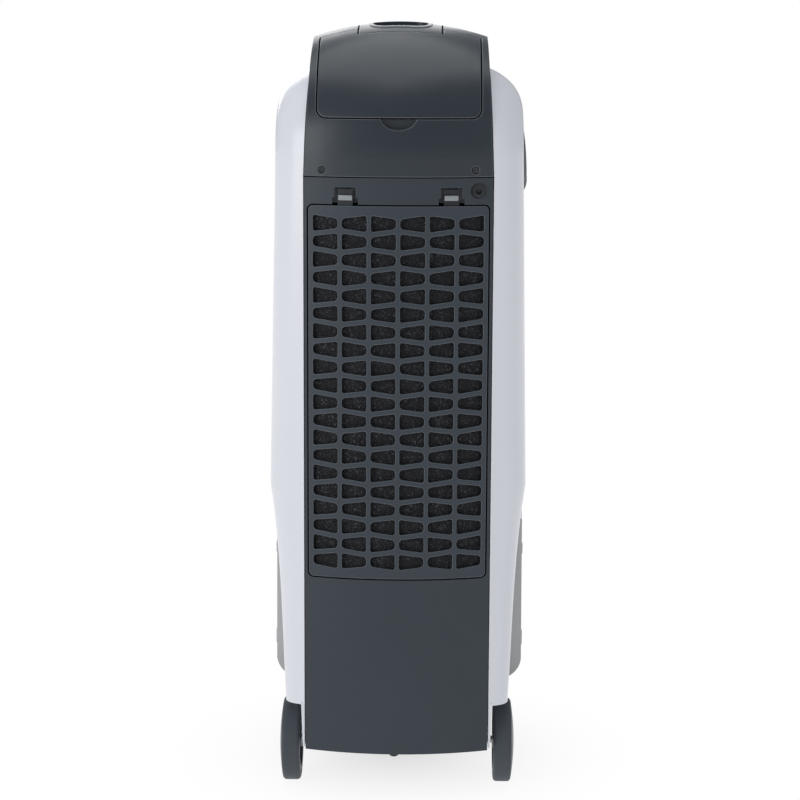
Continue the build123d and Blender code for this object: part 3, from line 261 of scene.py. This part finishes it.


# colour and edge colour are linear, the edge colour being painted on the edges as a highlight; grain is
# (lines per metre, depth in metres)
plasticLooks = {
    "white_shell": {
        "colour": (0.70, 0.71, 0.77), "edge": (0.8, 0.8, 0.84), "tone": 0.006, "rough": 0.3,
        "spread": 0.02, "grain": (420, 0.000003), "radius": 0.0012, "specular": 0.5, "coat": 0.3,
    },
    "charcoal_shell": {
        "colour": (0.029, 0.039, 0.050), "edge": (0.075, 0.088, 0.1), "tone": 0.05, "rough": 0.4,
        "spread": 0.06, "grain": (1500, 0.00005), "radius": 0.0008, "specular": 0.35, "coat": 0.0,
    },
    "charcoal_cover": {
        "colour": (0.018, 0.026, 0.035), "edge": (0.17, 0.19, 0.215), "tone": 0.05, "rough": 0.31,
        "spread": 0.03, "grain": (1500, 0.00002), "radius": 0.0016, "specular": 0.5, "coat": 0.0,
    },
    "charcoal_grille": {
        "colour": (0.032, 0.043, 0.055), "edge": (0.15, 0.168, 0.19), "tone": 0.05, "rough": 0.4,
        "spread": 0.05, "grain": (1500, 0.00004), "radius": 0.0015, "specular": 0.35, "coat": 0.0,
    },
    "dark_frame": {
        "colour": (0.022, 0.026, 0.03), "edge": (0.05, 0.055, 0.06), "tone": 0.1, "rough": 0.55,
        "spread": 0.07, "grain": (900, 0.00006), "radius": 0.0006, "specular": 0.35, "coat": 0.0,
    },
    "black_trim": {
        "colour": (0.014, 0.017, 0.022), "edge": (0.045, 0.05, 0.058), "tone": 0.1, "rough": 0.45,
        "spread": 0.06, "grain": (1500, 0.00004), "radius": 0.0005, "specular": 0.4, "coat": 0.0,
    },
    "wheel_rubber": {
        "colour": (0.054, 0.064, 0.076), "edge": (0.085, 0.098, 0.114), "tone": 0.1, "rough": 0.6,
        "spread": 0.08, "grain": (1100, 0.00008), "radius": 0.0012, "specular": 0.3, "coat": 0.0,
    },
    "wheel_hub": {
        "colour": (0.085, 0.097, 0.11), "edge": (0.15, 0.165, 0.18), "tone": 0.07, "rough": 0.42,
        "spread": 0.06, "grain": (1500, 0.00004), "radius": 0.0008, "specular": 0.4, "coat": 0.0,
    },
    "rubber_feet": {
        "colour": (0.02, 0.02, 0.022), "edge": (0.04, 0.04, 0.042), "tone": 0.12, "rough": 0.75,
        "spread": 0.08, "grain": (800, 0.0001), "radius": 0.001, "specular": 0.25, "coat": 0.0,
    },
    "ice_bin_grey": {
        "colour": (0.33, 0.35, 0.38), "edge": (0.42, 0.44, 0.47), "tone": 0.03, "rough": 0.4,
        "spread": 0.06, "grain": (900, 0.00003), "radius": 0.0007, "specular": 0.45, "coat": 0.0,
    },
    "panel_black": {
        "colour": (0.008, 0.009, 0.011), "edge": (0.03, 0.032, 0.036), "tone": 0.1, "rough": 0.16,
        "spread": 0.04, "grain": (300, 0.000008), "radius": 0.0006, "specular": 0.5, "coat": 0.4,
    },
    "board_green": {
        "colour": (0.012, 0.09, 0.035), "edge": (0.2, 0.16, 0.06), "tone": 0.15, "rough": 0.35,
        "spread": 0.1, "grain": (500, 0.00005), "radius": 0.0004, "specular": 0.5, "coat": 0.2,
    },
    "housing_grey": {
        "colour": (0.16, 0.17, 0.18), "edge": (0.24, 0.25, 0.26), "tone": 0.06, "rough": 0.5,
        "spread": 0.07, "grain": (1000, 0.00005), "radius": 0.0006, "specular": 0.4, "coat": 0.0,
    },
    "fan_white": {
        "colour": (0.55, 0.56, 0.56), "edge": (0.66, 0.67, 0.67), "tone": 0.04, "rough": 0.42,
        "spread": 0.06, "grain": (900, 0.00003), "radius": 0.0004, "specular": 0.4, "coat": 0.0,
    },
    "pump_blue": {
        "colour": (0.03, 0.06, 0.16), "edge": (0.08, 0.12, 0.24), "tone": 0.08, "rough": 0.45,
        "spread": 0.06, "grain": (1200, 0.00004), "radius": 0.0005, "specular": 0.4, "coat": 0.0,
    },
    "tank_grey": {
        "colour": (0.44, 0.445, 0.44), "edge": (0.52, 0.525, 0.52), "tone": 0.02, "rough": 0.34,
        "spread": 0.05, "grain": (600, 0.00002), "radius": 0.0012, "specular": 0.45, "coat": 0.1,
    },
    "float_red": {
        "colour": (0.5, 0.03, 0.02), "edge": (0.6, 0.08, 0.06), "tone": 0.08, "rough": 0.5,
        "spread": 0.06, "grain": (1200, 0.00006), "radius": 0.0005, "specular": 0.4, "coat": 0.0,
    },
    "button_grey": {
        "colour": (0.25, 0.27, 0.29), "edge": (0.36, 0.38, 0.4), "tone": 0.04, "rough": 0.38,
        "spread": 0.05, "grain": (1300, 0.00003), "radius": 0.0006, "specular": 0.45, "coat": 0.0,
    },
}


def makePlastic(name):
    look = plasticLooks[name]
    made, tree, shader = startMaterial(name)
    edge = placeGroup(tree, softEdge, Radius=look["radius"])
    skin = placeGroup(tree, mouldedSkin, **{
        "Colour": (*look["colour"], 1),
        "Edge highlight colour": (*look["edge"], 1),
        "Tone": look["tone"],
        "Roughness": look["rough"],
        "Spread": look["spread"],
        "Grain scale": look["grain"][0],
        "Grain depth": look["grain"][1],
    })
    tree.links.new(edge.outputs["Mask"], skin.inputs["Edge highlight mask"])
    tree.links.new(edge.outputs["Normal"], skin.inputs["Normal"])
    tree.links.new(skin.outputs["Colour"], shader.inputs["Base Color"])
    tree.links.new(skin.outputs["Roughness"], shader.inputs["Roughness"])
    tree.links.new(skin.outputs["Normal"], shader.inputs["Normal"])
    shader.inputs["Specular IOR Level"].default_value = look["specular"]
    shader.inputs["Coat Weight"].default_value = look["coat"]
    shader.inputs["Coat Roughness"].default_value = 0.12
    return made


metalLooks = {
    "steel": {
        "colour": (0.56, 0.57, 0.59), "dull": (0.3, 0.3, 0.31),
        "rough": 0.3, "stretch": (4, 900, 900),
    },
    "steel_dark": {
        "colour": (0.1, 0.105, 0.11), "dull": (0.045, 0.045, 0.05),
        "rough": 0.42, "stretch": (500, 500, 500),
    },
}


def makeMetal(name):
    look = metalLooks[name]
    made, tree, shader = startMaterial(name)
    links = tree.links
    coords = addNode(tree, "ShaderNodeTexCoord")
    turned = addNode(tree, "ShaderNodeMapping")
    turned.inputs["Scale"].default_value = look["stretch"]
    links.new(coords.outputs["Object"], turned.inputs["Vector"])
    lines = addNode(tree, "ShaderNodeTexNoise")
    lines.inputs["Scale"].default_value = 1
    lines.inputs["Detail"].default_value = 3
    links.new(turned.outputs[0], lines.inputs["Vector"])
    tint = addNode(tree, "ShaderNodeMix", data_type="RGBA")
    tint.inputs["A"].default_value = (*look["dull"], 1)
    tint.inputs["B"].default_value = (*look["colour"], 1)
    links.new(lines.outputs["Fac"], tint.inputs["Factor"])
    links.new(tint.outputs["Result"], shader.inputs["Base Color"])
    rough = rangeNode(tree, 0.2, 0.8, lines.outputs["Fac"])
    rough.inputs["To Min"].default_value = look["rough"] - 0.08
    rough.inputs["To Max"].default_value = look["rough"] + 0.12
    links.new(rough.outputs["Result"], shader.inputs["Roughness"])
    edge = placeGroup(tree, softEdge, Radius=0.0004)
    bump = addNode(tree, "ShaderNodeBump")
    bump.inputs["Distance"].default_value = 0.00002
    links.new(lines.outputs["Fac"], bump.inputs["Height"])
    links.new(edge.outputs["Normal"], bump.inputs["Normal"])
    links.new(bump.outputs["Normal"], shader.inputs["Normal"])
    shader.inputs["Metallic"].default_value = 1.0
    return made


clearLooks = {
    "display_glass": {"colour": (0.12, 0.14, 0.17), "rough": 0.05, "transmission": 0.75},
    "gauge_clear": {"colour": (0.8, 0.86, 0.88), "rough": 0.08, "transmission": 0.85},
    "hose_clear": {"colour": (0.72, 0.76, 0.78), "rough": 0.25, "transmission": 0.6},
}


def makeClear(name):
    look = clearLooks[name]
    made, tree, shader = startMaterial(name)
    coords = addNode(tree, "ShaderNodeTexCoord")
    haze = addNode(tree, "ShaderNodeTexNoise")
    haze.inputs["Scale"].default_value = 60
    haze.inputs["Detail"].default_value = 4
    tree.links.new(coords.outputs["Object"], haze.inputs["Vector"])
    rough = rangeNode(tree, 0.3, 0.7, haze.outputs["Fac"])
    rough.inputs["To Min"].default_value = look["rough"] * 0.6
    rough.inputs["To Max"].default_value = look["rough"] * 1.6
    tree.links.new(rough.outputs["Result"], shader.inputs["Roughness"])
    tint = addNode(tree, "ShaderNodeMix", data_type="RGBA")
    tint.inputs["A"].default_value = (*look["colour"], 1)
    tint.inputs["B"].default_value = (*[c * 0.9 for c in look["colour"]], 1)
    tree.links.new(haze.outputs["Fac"], tint.inputs["Factor"])
    tree.links.new(tint.outputs["Result"], shader.inputs["Base Color"])
    shader.inputs["Transmission Weight"].default_value = look["transmission"]
    shader.inputs["IOR"].default_value = 1.49
    return made


def makeFilterMesh():
    made, tree, shader = startMaterial("filter_mesh")
    links = tree.links
    coords = addNode(tree, "ShaderNodeTexCoord")
    cells = addNode(tree, "ShaderNodeTexVoronoi", feature="DISTANCE_TO_EDGE")
    cells.inputs["Scale"].default_value = 420
    links.new(coords.outputs["Object"], cells.inputs["Vector"])
    paintedGlintNoise = addNode(tree, "ShaderNodeTexNoise")
    paintedGlintNoise.inputs["Scale"].default_value = 380
    paintedGlintNoise.inputs["Detail"].default_value = 3
    links.new(coords.outputs["Object"], paintedGlintNoise.inputs["Vector"])
    # sparse painted glints: the net is tinted lighter where the strands and the noise peaks meet, standing in
    # for highlights
    strands = rangeNode(tree, 0.16, 0.02, cells.outputs["Distance"])
    paintedGlintSpots = rangeNode(tree, 0.5, 0.72, paintedGlintNoise.outputs["Fac"])
    paintedGlint = addNode(tree, "ShaderNodeMath", operation="MULTIPLY")
    links.new(strands.outputs["Result"], paintedGlint.inputs[0])
    links.new(paintedGlintSpots.outputs["Result"], paintedGlint.inputs[1])
    tint = addNode(tree, "ShaderNodeMix", data_type="RGBA")
    tint.inputs["A"].default_value = (0.0022, 0.0026, 0.0045, 1)
    tint.inputs["B"].default_value = (0.07, 0.075, 0.09, 1)
    links.new(paintedGlint.outputs[0], tint.inputs["Factor"])
    links.new(tint.outputs["Result"], shader.inputs["Base Color"])
    rough = rangeNode(tree, 0, 1, strands.outputs["Result"])
    rough.inputs["To Min"].default_value = 0.85
    rough.inputs["To Max"].default_value = 0.45
    links.new(rough.outputs["Result"], shader.inputs["Roughness"])
    bump = addNode(tree, "ShaderNodeBump")
    bump.inputs["Distance"].default_value = 0.0004
    links.new(strands.outputs["Result"], bump.inputs["Height"])
    links.new(bump.outputs["Normal"], shader.inputs["Normal"])
    return made


def makeCellulose():
    made, tree, shader = startMaterial("cellulose_pad")
    links = tree.links
    coords = addNode(tree, "ShaderNodeTexCoord")
    fibres = addNode(tree, "ShaderNodeTexNoise")
    fibres.inputs["Scale"].default_value = 260
    fibres.inputs["Detail"].default_value = 5
    fibres.inputs["Distortion"].default_value = 1.5
    links.new(coords.outputs["Object"], fibres.inputs["Vector"])
    damp = addNode(tree, "ShaderNodeTexNoise")
    damp.inputs["Scale"].default_value = 14
    links.new(coords.outputs["Object"], damp.inputs["Vector"])
    paper = addNode(tree, "ShaderNodeMix", data_type="RGBA")
    paper.inputs["A"].default_value = (0.2, 0.13, 0.065, 1)
    paper.inputs["B"].default_value = (0.38, 0.27, 0.15, 1)
    links.new(fibres.outputs["Fac"], paper.inputs["Factor"])
    wet = addNode(tree, "ShaderNodeMix", data_type="RGBA")
    wet.inputs["B"].default_value = (0.16, 0.1, 0.05, 1)
    share = rangeNode(tree, 0.45, 0.75, damp.outputs["Fac"])
    links.new(share.outputs["Result"], wet.inputs["Factor"])
    links.new(paper.outputs["Result"], wet.inputs["A"])
    links.new(wet.outputs["Result"], shader.inputs["Base Color"])
    rough = rangeNode(tree, 0, 1, share.outputs["Result"])
    rough.inputs["To Min"].default_value = 0.9
    rough.inputs["To Max"].default_value = 0.6
    links.new(rough.outputs["Result"], shader.inputs["Roughness"])
    bump = addNode(tree, "ShaderNodeBump")
    bump.inputs["Distance"].default_value = 0.0002
    links.new(fibres.outputs["Fac"], bump.inputs["Height"])
    links.new(bump.outputs["Normal"], shader.inputs["Normal"])
    return made


materials = {name: makePlastic(name) for name in plasticLooks}
materials.update({name: makeMetal(name) for name in metalLooks})
materials.update({name: makeClear(name) for name in clearLooks})
materials["filter_mesh"] = makeFilterMesh()
materials["cellulose_pad"] = makeCellulose()
for name, item in nodes.items():
    item.data.materials.clear()
    item.data.materials.append(materials[slotOf[name]])
print("materials made:", len(materials))


def onlyThis(item):
    if bpy.context.object and bpy.context.object.mode != "OBJECT":
        bpy.ops.object.mode_set(mode="OBJECT")
    bpy.ops.object.select_all(action="DESELECT")
    item.hide_viewport = False
    item.select_set(True)
    bpy.context.view_layer.objects.active = item


def applyAll(item):
    onlyThis(item)
    for modifier in list(item.modifiers):
        bpy.ops.object.modifier_apply(modifier=modifier.name)
    bpy.ops.object.transform_apply(location=True, rotation=True, scale=True)


def settle(item, name, body, slotName, stoodFor=(), sharpAngle=32):
    applyAll(item)
    item.name = name
    item.data.name = name
    bpy.ops.object.shade_smooth_by_angle(angle=math.radians(sharpAngle))
    item.data.materials.clear()
    item.data.materials.append(materials[slotName])
    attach(item, body)
    if stoodFor:
        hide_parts(*stoodFor)


screenSetup = {
    "curve": 0.2951,       # radius of the rear face, less the screen's depth
    "across": 120,         # cells from side to side
    "up": 250,
    "ruffle": 0.0011,      # how far the net stands in and out
    "knot": 0.0032,        # size of its knots
    "thick": 0.0007,
    "inFromRear": 0.0015,  # how far it lies inside the CAD sheet's box
    "inFromSide": 0.0004,
    "inFromEnd": 0.0005,
}

sheetStart = 0.01          # width of the strip a sheet is spun from
weldGap = 0.00001


def spunSheet(curve, centreY, fromX, toX, low, high, across, up, side=1):
    # an upright sheet that follows a round face about an upright axis; side is 1 at the rear, -1 at the front
    bpy.ops.object.select_all(action="DESELECT")
    bpy.ops.mesh.primitive_grid_add(x_subdivisions=1, y_subdivisions=up, size=1)
    item = bpy.context.object
    bpy.ops.object.mode_set(mode="EDIT")
    bpy.ops.mesh.select_all(action="SELECT")
    bpy.ops.transform.resize(value=(sheetStart, high - low, 1))
    bpy.ops.transform.rotate(value=math.radians(90), orient_axis="X", center_override=(0, 0, 0))
    bpy.ops.mesh.select_all(action="DESELECT")
    bpy.ops.object.mode_set(mode="OBJECT")
    bpy.context.tool_settings.mesh_select_mode = (True, False, False)
    for point in item.data.vertices:
        point.select = point.co.x > 0
    bpy.ops.object.mode_set(mode="EDIT")
    bpy.ops.mesh.delete(type="VERT")
    bpy.ops.mesh.select_all(action="SELECT")
    startY = centreY + side * math.sqrt(curve * curve - fromX * fromX)
    bpy.ops.transform.translate(value=(fromX + sheetStart / 2, startY, (low + high) / 2))
    turn = math.asin(toX / curve) - math.asin(fromX / curve)
    bpy.ops.mesh.spin(steps=across, angle=turn, center=(0, centreY, 0), axis=(0, 0, side))
    bpy.ops.mesh.select_all(action="SELECT")
    bpy.ops.mesh.remove_doubles(threshold=weldGap)
    bpy.ops.mesh.normals_make_consistent(inside=False)
    bpy.ops.object.mode_set(mode="OBJECT")
    return item


def addThickness(item, thick, offset=0):
    wall = item.modifiers.new("wall", "SOLIDIFY")
    wall.thickness = thick
    wall.offset = offset


def makeScreen():
    low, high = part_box("dust_filter")
    centreY = high[1] - screenSetup["inFromRear"] - screenSetup["curve"]
    sideIn = screenSetup["inFromSide"]
    endIn = screenSetup["inFromEnd"]
    item = spunSheet(screenSetup["curve"], centreY, low[0] + sideIn, high[0] - sideIn,
                     low[2] + endIn, high[2] - endIn, screenSetup["across"], screenSetup["up"])
    knots = bpy.data.textures.new("netKnots", "CLOUDS")
    knots.noise_scale = screenSetup["knot"]
    knots.noise_depth = 1
    ruffle = item.modifiers.new("ruffle", "DISPLACE")
    ruffle.texture = knots
    ruffle.texture_coords = "LOCAL"
    ruffle.strength = screenSetup["ruffle"]
    addThickness(item, screenSetup["thick"])
    settle(item, "filterScreen", "cassette", "filter_mesh", ("dust_filter",), 60)


makeScreen()
print("filter screen made")


padSetup = {
    "sheets": 24,
    "wave": 0.0135,        # length of one flute
    "depth": 0.0033,       # half a flute's height
    "slope": 32,           # degrees, alternate sheets the other way
    "paper": 0.00045,
    "margin": 0.001,       # between the outer sheets and the pad's sides
    "length": 0.47,        # of a sheet before it is trimmed
    "width": 0.6,
}


def makeFlutedSheet(slope, low, high):
    # one corrugated sheet, stood across the air and trimmed to the pad's sides
    middle = [(a + b) / 2 for a, b in zip(low, high)]
    waves = int(padSetup["length"] / padSetup["wave"])
    bpy.ops.object.select_all(action="DESELECT")
    bpy.ops.mesh.primitive_grid_add(x_subdivisions=waves * 4, y_subdivisions=1, size=1)
    item = bpy.context.object
    step = 1 / (waves * 4)
    for phase, lift in ((1, padSetup["depth"]), (3, -padSetup["depth"])):
        bpy.ops.object.mode_set(mode="EDIT")
        bpy.context.tool_settings.mesh_select_mode = (True, False, False)
        bpy.ops.mesh.select_all(action="DESELECT")
        bpy.ops.object.mode_set(mode="OBJECT")
        for point in item.data.vertices:
            point.select = round((point.co.x + 0.5) / step) % 4 == phase
        bpy.ops.object.mode_set(mode="EDIT")
        bpy.ops.transform.translate(value=(0, 0, lift))
    bpy.ops.mesh.select_all(action="SELECT")
    bpy.ops.transform.resize(value=(waves * padSetup["wave"], padSetup["width"], 1))
    bpy.ops.transform.rotate(value=math.radians(90), orient_axis="Y", center_override=(0, 0, 0))
    bpy.ops.transform.rotate(value=math.radians(slope), orient_axis="X", center_override=(0, 0, 0))
    bpy.ops.transform.translate(value=(low[0] + padSetup["depth"] + padSetup["margin"], *middle[1:]))
    for axis in (1, 2):
        facing = [0, 0, 0]
        facing[axis] = 1
        bpy.ops.mesh.select_all(action="SELECT")
        bpy.ops.mesh.bisect(plane_co=low, plane_no=facing, clear_inner=True)
        bpy.ops.mesh.select_all(action="SELECT")
        bpy.ops.mesh.bisect(plane_co=high, plane_no=facing, clear_outer=True)
    bpy.ops.object.mode_set(mode="OBJECT")
    addThickness(item, padSetup["paper"])
    applyAll(item)
    return item


def makePad():
    low, high = [list(corner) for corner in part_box("cooling_pad")]
    room = high[0] - low[0] - 2 * (padSetup["depth"] + padSetup["margin"])
    pitch = room / (padSetup["sheets"] - 1)
    pair = [makeFlutedSheet(padSetup["slope"], low, high), makeFlutedSheet(-padSetup["slope"], low, high)]
    sheets = list(pair)
    for number in range(2, padSetup["sheets"]):
        onlyThis(pair[number % 2])
        bpy.ops.object.duplicate(linked=False)
        sheets.append(bpy.context.object)
    for number, item in enumerate(sheets):
        onlyThis(item)
        bpy.ops.transform.translate(value=(number * pitch, 0, 0))
    bpy.ops.object.select_all(action="DESELECT")
    for item in sheets:
        item.select_set(True)
    bpy.context.view_layer.objects.active = sheets[0]
    bpy.ops.object.join()
    settle(sheets[0], "flutedPad", "cassette", "cellulose_pad", ("cooling_pad",), 50)


makePad()
print("fluted pad made")


latchSetup = {
    "middle": 0.056,
    "half": 0.0073,        # half a lip's width
    "low": 0.0058,         # above the grille's top
    "high": 0.0112,
    "thick": 0.0012,
    "round": 0.0004,
    "cells": (6, 2),       # across and up
    "curve": 0.2999,       # the latch's rear face, on a centre at this y
    "centreY": -0.125,
}


# two thin pale grey lips on the latches; their pale colour is a painted highlight for the latches' lit face
def makeLatchLips():
    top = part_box("rear_grille")[1][2]
    for side in (-1, 1):
        middle = side * latchSetup["middle"]
        item = spunSheet(latchSetup["curve"], latchSetup["centreY"],
                         middle - latchSetup["half"], middle + latchSetup["half"],
                         top + latchSetup["low"], top + latchSetup["high"], *latchSetup["cells"])
        addThickness(item, latchSetup["thick"], -1)
        soft = item.modifiers.new("soft", "BEVEL")
        soft.width = latchSetup["round"]
        soft.segments = 2
        name = "latchHighlightLipLeft" if side < 0 else "latchHighlightLipRight"
        settle(item, name, "cassette", "button_grey")


makeLatchLips()
print("latch lips made")


markSetup = {
    "count": 6,
    "fromX": 0.0125,
    "longX": 0.0215,       # the first and last lines are the long ones
    "shortX": 0.0175,
    "tall": 0.0011,
    "proud": 0.0002,
    "thick": 0.0006,
    "cells": (4, 2),       # across and up
    "endShare": 0.08,      # share of the window left free at each end
    "curve": 0.3,          # the tank's front face, on a centre at this y
    "centreY": 0.125,
}


def makeLevelMarks():
    # plain raised lines beside the level window
    low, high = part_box("tank_gauge")
    last = markSetup["count"] - 1
    endShare = markSetup["endShare"]
    for number in range(markSetup["count"]):
        z = low[2] + (high[2] - low[2]) * (endShare + (1 - 2 * endShare) * number / last)
        toX = markSetup["longX"] if number in (0, last) else markSetup["shortX"]
        item = spunSheet(markSetup["curve"] + markSetup["proud"], markSetup["centreY"],
                         markSetup["fromX"], toX,
                         z - markSetup["tall"] / 2, z + markSetup["tall"] / 2,
                         *markSetup["cells"], side=-1)
        addThickness(item, markSetup["thick"], -1)
        settle(item, "levelMark" + str(number + 1), "tank", "button_grey")


makeLevelMarks()
print("level marks made")


floorSetup = {"radius": 14, "colour": (0.9, 0.9, 0.9), "fadeStart": -0.5, "fadeEnd": 0.32}


def makeFloor():
    bpy.ops.mesh.primitive_circle_add(vertices=96, radius=floorSetup["radius"], fill_type="NGON")
    floor = bpy.context.object
    floor.name = "studioFloor"
    made, tree, shader = startMaterial("paleFloor")
    links = tree.links
    coords = addNode(tree, "ShaderNodeTexCoord")
    mottle = addNode(tree, "ShaderNodeTexNoise")
    mottle.inputs["Scale"].default_value = 3
    links.new(coords.outputs["Object"], mottle.inputs["Vector"])
    rough = rangeNode(tree, 0.3, 0.7, mottle.outputs["Fac"])
    rough.inputs["To Min"].default_value = 0.85
    rough.inputs["To Max"].default_value = 0.95
    links.new(rough.outputs["Result"], shader.inputs["Roughness"])
    shader.inputs["Base Color"].default_value = (*floorSetup["colour"], 1)
    shader.inputs["Specular IOR Level"].default_value = 0.1

    # the floor glows with the backdrop's white, fully further out and part-way even under the object, which
    # pales its cast shadow there as painted light
    away = addNode(tree, "ShaderNodeVectorMath", operation="LENGTH")
    links.new(coords.outputs["Object"], away.inputs[0])
    glowShare = rangeNode(tree, floorSetup["fadeStart"], floorSetup["fadeEnd"], away.outputs["Value"])
    glowShare.interpolation_type = "SMOOTHSTEP"
    glow = addNode(tree, "ShaderNodeEmission")
    glow.inputs["Color"].default_value = (*worldSetup["backdrop"], 1)
    mix = addNode(tree, "ShaderNodeMixShader")
    links.new(glowShare.outputs["Result"], mix.inputs["Fac"])
    links.new(shader.outputs[0], mix.inputs[1])
    links.new(glow.outputs[0], mix.inputs[2])
    links.new(mix.outputs[0], tree.nodes["Material Output"].inputs["Surface"])
    floor.data.materials.append(made)


makeFloor()
print("floor laid")
